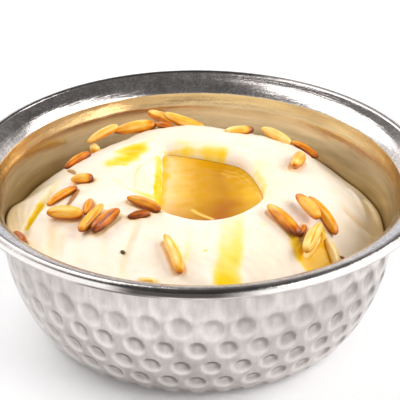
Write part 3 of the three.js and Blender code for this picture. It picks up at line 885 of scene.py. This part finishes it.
# oil on the hummus: line, half width at its start and end, strength there, softness of the edge
films = [
    # patch at the back left
    ([(-27.9, 14.1), (-24.0, 15.1), (-21.5, 18.4), (-20.2, 20.9)], 2.8, 3.2, 0.88, 0.97, 2.5),
    ([(-24.6, 21.0), (-22.6, 21.3), (-20.2, 20.9)], 2.6, 2.5, 0.92, 0.97, 2.5),
    ([(-24.0, 19.0), (-20.0, 10.0), (-18.0, 2.0), (-16.0, -6.0)], 3.0, 2.4, 0.14, 0.22, 2.8),
    ([(-52.0, 8.0), (-48.0, 13.5), (-42.0, 17.5)], 2.0, 1.6, 0.20, 0.16, 2.2),
    ([(-29.5, 13.5), (-26.8, 12.1), (-23.8, 11.2)], 0.6, 0.9, 0.7, 0.6, 0.6),
    ([(-19.0, 22.7), (-16.1, 26.6), (-13.9, 30.8)], 1.4, 1.0, 0.35, 0.12, 0.9),
    # groove at the left
    ([(-52.9, -17.4), (-51.4, -11.6), (-49.6, -5.7)], 1.0, 1.9, 1.0, 0.8, 0.6),
    ([(-49.6, -5.7), (-47.8, 2.0), (-46.8, 11.6)], 1.8, 2.6, 0.45, 0.2, 1.3),
    # streaks left of the well
    ([(-27.7, 4.3), (-24.3, -0.1), (-20.9, -3.7), (-16.7, -6.4), (-14.1, -7.9)],
     0.6, 1.2, 0.2, 0.6, 0.7),
    ([(-14.1, 15.5), (-16.6, 12.4), (-19.2, 9.5), (-20.3, 5.0), (-20.1, -0.7), (-18.7, -4.8)],
     0.3, 0.4, 0.35, 0.2, 0.5),
    ([(-12.9, 17.4), (-12.8, 10.6), (-12.8, 3.6)], 1.0, 1.2, 0.65, 0.95, 0.8),
    ([(-12.8, 4.8), (-12.8, -2.1), (-12.5, -7.7), (-11.8, -13.1)], 1.3, 1.2, 0.95, 1.0, 0.5),
    # back edge of the well
    ([(-11.4, 24.2), (-8.1, 24.6), (-4.0, 23.6)], 0.4, 0.4, 0.5, 0.5, 0.4),
    ([(-7.0, 25.0), (0.0, 24.0), (5.6, 22.4), (8.6, 20.6)], 1.4, 2.2, 0.30, 0.40, 1.8),
    ([(-4.7, 23.7), (0.0, 22.7), (4.6, 21.2), (7.6, 19.9)], 0.4, 1.4, 0.6, 0.78, 1.2),
    ([(-7.1, 26.6), (-3.4, 26.0)], 0.5, 0.5, 0.3, 0.25, 0.8),
    # right of the well
    ([(18.9, 12.5), (20.1, 7.2), (20.9, 1.8), (21.6, -4.3), (21.9, -10.3)],
     1.3, 1.0, 0.22, 0.3, 1.6),
    ([(19.0, 7.8), (20.2, 3.0), (21.2, -2.7)], 0.6, 0.8, 0.45, 0.3, 1.2),
    ([(21.5, 12.0), (24.0, 4.0), (24.5, -6.0)], 2.6, 2.2, 0.22, 0.14, 2.6),
    # stream down the front
    ([(10.9, -19.9), (10.7, -29.5), (9.8, -37.0)], 3.8, 4.0, 0.30, 0.40, 1.8),
    ([(12.6, -22.6), (12.4, -33.8), (11.5, -40.5)], 1.2, 1.5, 0.20, 0.36, 1.8),
    ([(9.6, -33.5), (9.4, -41.0), (9.2, -45.5), (9.0, -50.9)], 3.8, 4.2, 0.12, 0.84, 1.9),
    ([(7.8, -41.2), (8.2, -46.5), (8.6, -50.9)], 2.6, 3.2, 0.25, 0.96, 2.0),
    ([(-2.6, -26.8), (-2.8, -34.5), (-3.7, -40.8)], 1.0, 1.3, 0.12, 0.42, 1.3),
    ([(0.2, -34.4), (2.6, -37.8), (3.2, -42.7)], 1.0, 0.8, 0.2, 0.08, 1.2),
    # under the nuts at the right
    ([(29.6, -25.8), (30.6, -29.4), (32.4, -32.1), (35.2, -34.2)], 2.0, 2.8, 0.8, 1.0, 1.2),
    ([(33.0, -32.2), (35.5, -32.4), (38.4, -31.4)], 2.4, 2.4, 1.0, 1.0, 1.0),
    ([(38.7, -19.3), (38.4, -24.4), (36.6, -29.3)], 1.4, 1.4, 0.8, 1.0, 1.0),
    ([(38.8, -25.6), (40.3, -31.1), (41.4, -35.4)], 1.8, 3.0, 0.9, 1.0, 1.0),
    ([(34.0, -34.2), (37.4, -36.0), (41.0, -36.6)], 2.0, 2.6, 0.9, 1.0, 1.2),
    # green drops
    ([(19.8, -23.1), (21.0, -22.9)], 0.9, 0.9, 0.3, 0.3, 0.8),
    ([(2.0, -37.4), (2.6, -37.4)], 0.35, 0.35, 0.5, 0.5, 0.35),
    ([(27.4, -10.9), (28.3, -10.7)], 0.6, 0.6, 0.3, 0.3, 0.4),
]

wellLine = splineThrough(wellOutline, 40, closed=True) - hummusLook["wellCentre"]
wellAngles = np.arctan2(wellLine[:, 1], wellLine[:, 0])
wellOrder = np.argsort(wellAngles)


# Distance from the well's centre to its outline
def wellReach(angle):
    reach = np.hypot(*wellLine[wellOrder].T)
    return np.interp(angle, wellAngles[wellOrder], reach, period=fullTurn)


# Height at which the hummus meets the wall: its mean with cos a, sin a and sin 2a parts, and a
# smear height * exp((cos(a - angle) - 1) / spread)
def contactHeight(angle):
    mean, cosPart, sinPart, sinTwoPart = hummusLook["contact"]
    smearHeight, smearAngle, smearSpread = hummusLook["smear"]
    smear = smearHeight * np.exp((np.cos(angle - smearAngle) - 1) / smearSpread)
    return (mean + cosPart * np.cos(angle) + sinPart * np.sin(angle)
            + sinTwoPart * np.sin(2 * angle) + smear)


# Level ring that falls ever faster to the wall, crest - (crest - contact) * out^2.3, rounded
# into the well by a quarter ellipse, less dents exp(-(r / spread)^2) and folds along lines.
# Also its painted shade (tan), and its oil stain and painted contact shadow round the nuts.
def hummusHeight(x, y):
    look = hummusLook
    angle = np.arctan2(y, x)
    contact = contactHeight(angle)
    wallRadius = innerRadius(contact) - 0.3
    mean, cosPart, sinPart, cosTwoPart = look["crest"]
    crest = (mean + cosPart * np.cos(angle) + sinPart * np.sin(angle)
             + cosTwoPart * np.cos(2 * angle))
    crestRadius = look["crestRadius"]
    out = np.clip((np.hypot(x, y) - crestRadius) / (wallRadius - crestRadius), 0, 1)
    ring = crest - (crest - contact) * out ** look["shoulderPower"]
    fromX, fromY = x - look["wellCentre"][0], y - look["wellCentre"][1]
    bearing = np.arctan2(fromY, fromX)
    fromWell = np.hypot(fromX, fromY) - wellReach(bearing)
    width, sinPart, cosPart = look["lipWidth"]
    lipWidth = np.maximum(1.5, width + sinPart * np.sin(bearing) + cosPart * np.cos(bearing))
    narrower, crispBearing, crispSpread = look["crispLip"]
    lipWidth = lipWidth * (1 - narrower * fade(bearing - crispBearing, crispSpread))
    rise = np.clip(fromWell / lipWidth, 0, 1)
    edge = look["oilLevel"] + 0.2
    height = edge + (ring - edge) * np.sqrt(1 - (1 - rise) ** 2)
    for dentX, dentY, spread, depth in dents:
        height = height - rise * depth * fade(np.hypot(x - dentX, y - dentY), spread)
    calm = smoothStep(0, 3, fromWell) * smoothStep(1.0, 0.95, out)
    tan = np.zeros_like(height)
    for line, halfWidth, depth, shade in folds:
        gap, along = distanceToLine(x, y, line)
        dip = band(0, 0.18, 0.82, 1, along) * fade(gap, halfWidth)
        height = height - calm * dip * depth
        tan = np.maximum(tan, shade * dip)
    for placeX, placeY, spread, shade in tanPlaces:
        tan = np.maximum(tan, shade * fade(np.hypot(x - placeX, y - placeY), spread))
    spots = np.stack([x, y], -1)
    height = height + calm * sum(size * wobble(spots, length, seed)
                                 for size, length, seed in look["unevenness"])
    bed, oilStainAndShadow = nutBed(x, y, height)
    return height + calm * bed, tan, oilStainAndShadow


# Hummus raised in a soft rim round each nut that touches it, exp(-((gap - 0.45) / 0.6)^2), and
# tinted by its oil and a painted contact shadow, 1 under it and exp(-(gap / 0.8)^2) beside it
def nutBed(x, y, height):
    change = np.zeros_like(height)
    oilStainAndShadow = np.zeros_like(height)
    for middle, axis, length, width in nutPlaces.values():
        ends = [middle - axis * 0.36 * length, middle + axis * 0.36 * length]
        gap, along = distanceToLine(x, y, [ends[0][:2], ends[1][:2]])
        bottom = ends[0][2] + (ends[1][2] - ends[0][2]) * along - width / 2
        touches = smoothStep(0.5, -0.3, bottom - height)
        beyond = gap - width * 0.42
        change = np.maximum(change, touches * 0.32 * fade(beyond - 0.45, 0.6))
        oilStainAndShadow = np.maximum(oilStainAndShadow, touches * fade(np.maximum(beyond, 0), 0.8))
    return change, oilStainAndShadow


# How much oil lies on the hummus: the films' levels joined as 1 - product of (1 - level), their
# edges moved by wobble, each fading over its softness
def oilFilm(x, y):
    spots = np.stack([x, y], -1)
    shift = 0.35 * wobble(spots, 6.0, 31) + 0.10 * wobble(spots, 2.0, 32)
    clear = np.ones_like(x)
    for line, startWidth, endWidth, start, end, softness in films:
        gap, along = distanceToLine(x, y, splineThrough(line, 6))
        halfWidth = startWidth + (endWidth - startWidth) * along
        moved = gap + shift * min(softness, 1)
        edge = smoothStep(halfWidth + softness, halfWidth - softness, moved)
        clear = clear * (1 - 0.97 * edge * (start + (end - start) * along))
    return 1 - clear


# A closed skin: rings inside the bowl up to the wall's contact line, the slope at shares of the
# way from there to the well's edge, and rings down the well
def makeHummus():
    look = hummusLook
    angle = anglesRound(look["columns"])
    radius = innerRadius(contactHeight(angle)) - look["wallGap"]
    wallX, wallY = radius * np.cos(angle), radius * np.sin(angle)
    reach = wellReach(angle)
    centre = look["wellCentre"]
    wellX, wellY = centre[0] + reach * np.cos(angle), centre[1] + reach * np.sin(angle)
    share = np.concatenate([[1, 0.997, 0.992, 0.985, 0.975],
                            0.96 * np.linspace(1, 0, look["slopeRows"]) ** 1.35])[:, None]
    x = wellX + (wallX - wellX) * share
    y = wellY + (wallY - wellY) * share
    toWall = np.hypot(wallX - x, wallY - y)
    rounded = 0.7 * (1 - np.sqrt(1 - np.clip(1 - toWall / 0.9, 0, 1) ** 2))
    height, tan, oilStainAndShadow = hummusHeight(x, y)
    slope = np.stack([x, y, height - rounded], -1)

    below = np.stack([ringPoints((0, 0), spot[0] - look["wallGap"], angle, spot[1] + 0.3)
                      for spot in innerWall[innerWall[:, 1] < 24]])
    level, depth = look["oilLevel"], look["oilDepth"]
    well = np.stack([ringPoints(centre, scale * reach, angle, level - down) for scale, down in (
        (0.97, 1.2), (0.9, 0.4 * depth), (0.7, 0.8 * depth))])

    # nought off the slope
    def onSlope(value):
        return np.pad(value, ((len(below), len(well)), (0, 0)))

    # painted shade (tan) by the wall, most at the two sides, and a brown line where it meets the
    # steel
    sideways = np.cos(angle) ** 2
    tan = np.maximum(tan, (0.20 + 0.50 * sideways) * smoothStep(3.5 + 6.0 * sideways, 0.3, toWall))
    return skinMesh("hummus_ring", np.concatenate([below, slope, well]),
                    (0, 0, floorHeight + 0.35), (*centre, level - depth),
                    {"oilFilm": onSlope(oilFilm(x, y)), "shade": onSlope(tan),
                     "brown": onSlope(smoothStep(0.68, 0.22, toWall)), "oilStainAndShadow": onSlope(oilStainAndShadow)})


def hummusMaterial():
    look = hummusLook
    material, tree, shader, place = newMaterial("hummus_cream")
    soft = mottle(tree, place, 70.0, 1.8, 3.0)
    fleck = mottle(tree, place, 1400.0, 2.4, 3.0)
    wave = mottle(tree, place, 420.0, 2.0, 3.0)
    film = mathNode(tree, "ADD", attributeValue(tree, "oilFilm"), sway(tree, wave, 0.08))
    oiled = toneRamp(tree, film, look["oils"])
    share = lambda name, most: mathNode(tree, "MULTIPLY", attributeValue(tree, name), most)
    base = mixColor(tree, soft, linear(*look["creamShade"]), linear(*look["cream"]))
    # painted shade, tan, in the folds and by the wall
    base = mixColor(tree, attributeValue(tree, "shade"), base, linear(*look["tan"]))
    base = mixColor(tree, mathNode(tree, "MULTIPLY", fleck, 0.08), base, linear(*look["fleck"]))
    base = mixColor(tree, mapRange(tree, film, 0.0, 0.55), base, oiled)
    # oil stain and painted contact shadow round the nuts
    base = mixColor(tree, share("oilStainAndShadow", 0.55), base, linear(*look["oilStainAndShadow"]))
    base = mixColor(tree, share("brown", 0.7), base, linear(*look["brown"]))
    fillInputs(tree, shader, {
        "Base Color": base,
        "Subsurface Weight": 0.35,
        "Subsurface Radius": (1.0, 0.85, 0.6),
        "Subsurface Scale": 0.0018,
        "Roughness": mapRange(tree, film, 0.1, 0.5, 0.46, 0.14),
        "Specular IOR Level": mapRange(tree, film, 0.1, 0.6, 0.5, 0.16),
        "Normal": layerBump(tree, place, 260.0, 1500.0, 0.25, 0.00022, 0.5),
    })
    return material


hummus = makeHummus()
hummus.data.materials.append(hummusMaterial())
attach(hummus, "root")
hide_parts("hummus")
print("hummus made:", len(hummus.data.polygons), "faces")

oilLook = {
    "columns": 260,
    "rows": 46,
    "overlap": 0.25,         # how far it climbs over the well's edge
    "meniscus": 0.32,
    "ripple": 0.035,
    # the ring waves at the back right: height, centre, radius of the first, radians in a mm
    "ringWaves": (0.10, (6, 24), 9, 1.9),
    # the dark line along the shore is painted shade
    "lineless": (-10.6, -8.6),           # left of this x the shore has no dark line
    # painted highlights and deep places in the pool: line, half width, strength
    "paintedGlint": [
        ([(-1.6, -12.4), (0.8, -15.0), (4.6, -17.9)], 0.55, 0.9),
        ([(18.9, -0.5), (19.8, -3.8), (20.1, -6.4)], 0.45, 0.8),
        ([(8.5, 14.2), (12.0, 12.6), (15.4, 9.0), (17.2, 5.0)], 0.30, 0.35),
        ([(9.5, 11.4), (12.2, 10.2), (14.6, 7.4)], 0.25, 0.3),
        ([(7.8, 12.4), (10.4, 9.6)], 0.5, 0.25),
    ],
    "deep": [
        ([(4.2, -18.6), (8.6, -18.0)], 2.6, 0.75),
        ([(-8.8, -15.6), (-2.4, -18.8)], 1.2, 0.35),
        ([(10.4, -8.0), (7.2, -14.0)], 3.4, 0.45),
    ],
    # tones from the left shore to the right one, between these two x
    "acrossFrom": (-11.5, 20.5),
    "across": [(0.0, (240, 190, 24)), (0.06, (244, 200, 136)), (0.18, (230, 180, 84)),
               (0.36, (202, 146, 14)), (0.60, (184, 124, 2)), (0.78, (204, 148, 8)),
               (1.0, (240, 190, 54))],
    "frontFrom": (-4, -19),              # darker to the front, between these two y
    "frontTone": (150, 84, 12),
    "shoreTone": (236, 176, 30),
    "deepTone": (158, 74, 14),
    # tones of the painted highlights and of the painted shade line along the shore
    "paintedGlintTone": (255, 206, 110),
    "paintedShoreShadeTone": (112, 58, 6),
}


# A pool: flat, with a meniscus that climbs exp(-gap / 0.7) at its shore, over a bowl-shaped
# bottom of rings of the well's outline
def makeOil():
    look = oilLook
    angle = anglesRound(look["columns"])
    reach = wellReach(angle)
    centre = hummusLook["wellCentre"]
    level, depth = hummusLook["oilLevel"], hummusLook["oilDepth"]
    bottom = np.stack([ringPoints(centre, scale * reach, angle, level - down) for scale, down in (
        (0.675, 0.8 * depth - 0.3), (0.875, 0.4 * depth - 0.3), (0.985, 0.9))])
    share = np.linspace(1, 0.02, look["rows"])[:, None] ** 0.6
    shore = reach + look["overlap"]
    gap = shore * (1 - share)
    x = centre[0] + shore * share * np.cos(angle)
    y = centre[1] + shore * share * np.sin(angle)
    z = level + look["meniscus"] * np.exp(-gap / 0.7)
    z = z + look["ripple"] * wobble(np.stack([x, y], -1), 7, 61) * smoothStep(0, 2, gap)
    waveHeight, (waveX, waveY), firstWave, pitch = look["ringWaves"]
    waves = waveHeight * np.sin((np.hypot(x - waveX, y - waveY) - firstWave) * pitch)
    waves = waves * smoothStep(3, 8, x) * smoothStep(5, 12, y)
    z = z + waves * smoothStep(0, 1.5, gap) * smoothStep(9, 3, gap)
    # a painted shade line along the shore and painted highlights
    values = {"shore": np.exp(-gap / 1.6),
              "line": smoothStep(*look["lineless"], x) * fade(gap, 0.42)}
    for key in ("paintedGlint", "deep"):
        values[key] = np.zeros_like(x)
        for line, halfWidth, strength in look[key]:
            away = distanceToLine(x, y, splineThrough(line, 6))[0]
            values[key] = np.maximum(values[key], strength * fade(away, halfWidth))
    values = {key: np.pad(value, ((len(bottom), 0), (0, 0))) for key, value in values.items()}
    return skinMesh("oil_pool", np.concatenate([bottom, np.stack([x, y, z], -1)]),
                    (*centre, level - depth + 0.3), (*centre, level), values)


def oilMaterial():
    look = oilLook
    material, tree, shader, place = newMaterial("olive_oil")
    axes = axisValues(tree, place)
    waves = mottle(tree, place, 160.0, 1.0, 2.0)
    moved = mathNode(tree, "ADD", axes["X"], sway(tree, waves, 0.006))
    across = mapRange(tree, moved, *[v * mm for v in look["acrossFrom"]])
    front = mapRange(tree, axes["Y"], *[v * mm for v in look["frontFrom"]])
    body = toneRamp(tree, across, look["across"])
    share = lambda mask, most: mathNode(tree, "MULTIPLY", mask, most)
    # painted highlights and a painted shade line along the shore, among the pool's tones
    for mask, tone in (
        (share(front, 0.55), "frontTone"),
        (share(attributeValue(tree, "shore"), 0.40), "shoreTone"),
        (attributeValue(tree, "deep"), "deepTone"),
        (attributeValue(tree, "paintedGlint"), "paintedGlintTone"),
        (share(attributeValue(tree, "line"), 0.90), "paintedShoreShadeTone"),
    ):
        body = mixColor(tree, mask, body, linear(*look[tone]))
    fillInputs(tree, shader, {
        "Base Color": body,
        "Roughness": mapRange(tree, waves, 0.0, 1.0, 0.05, 0.11),
        "IOR": 1.47,
        "Specular IOR Level": 0.11,
        "Subsurface Weight": 0.15,
        "Subsurface Radius": (1.0, 0.6, 0.15),
        "Subsurface Scale": 0.002,
        "Normal": layerBump(tree, place, 120.0, 420.0, 0.2, 0.00008, 0.4),
    })
    return material


oil = makeOil()
oil.data.materials.append(oilMaterial())
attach(oil, "root")
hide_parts("olive_oil")
print("oil made")

# a grain of pepper and three thin flakes, laid on the hummus
crumbs = {
    # middle (x, y), length, width, thickness, turn (degrees), colour
    "pepper_grain": ((-22.3, -37.9), 1.5, 1.3, 1.0, 20, (84, 74, 34)),
    "dark_flake": ((-41.6, 14.6), 8.0, 1.2, 0.8, -66, (204, 148, 70)),
    "thin_flake": ((-39.5, -6.8), 10.0, 1.1, 0.9, 70, (190, 122, 48)),
    "brown_flake": ((45.4, -25.0), 3.0, 0.9, 0.6, 8, (128, 74, 34)),
}


# An uneven ellipsoid whose middle line follows the hummus: height = surface + thickness * 0.3
def makeCrumb(name):
    (middleX, middleY), length, width, thickness, turnDegrees, color = crumbs[name]
    share = np.cos(np.linspace(0, np.pi, 22)[1:-1])
    turn = anglesRound(20)
    s, v = np.meshgrid(share, turn, indexing="ij")
    uneven = 1 + 0.12 * np.cos(3 * v + 4 * s) + 0.08 * np.cos(5 * v - 3 * s)
    radius = np.sqrt(1 - s ** 2) * uneven
    cosTurn, sinTurn = np.cos(np.radians(turnDegrees)), np.sin(np.radians(turnDegrees))

    def laid(alongIt, acrossIt, up):
        x = middleX + alongIt * cosTurn - acrossIt * sinTurn
        y = middleY + alongIt * sinTurn + acrossIt * cosTurn
        return np.stack([x, y, hummusHeight(x, y)[0] + 0.3 * thickness + up], -1)

    grid = laid(-s * length / 2, radius * np.cos(v) * width / 2, radius * np.sin(v) * thickness / 2)
    first, last = laid(np.array([-length / 2, length / 2]), np.zeros(2), np.zeros(2))
    piece = skinMesh(name, grid, first, last)
    material, tree, shader, place = newMaterial(name + "_skin")
    spots = mottle(tree, place, 1200.0, 2.0, 3.0)
    fillInputs(tree, shader, {
        "Base Color": mixColor(tree, spots, linear(*[0.7 * v for v in color]), linear(*color)),
        "Roughness": mapRange(tree, spots, 0.0, 1.0, 0.4, 0.6),
        "Normal": layerBump(tree, place, 900.0, 2600.0, 0.4, 0.0001, 0.6),
    })
    piece.data.materials.append(material)
    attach(piece, "root")


for crumbName in crumbs:
    makeCrumb(crumbName)
print("crumbs made:", len(crumbs))
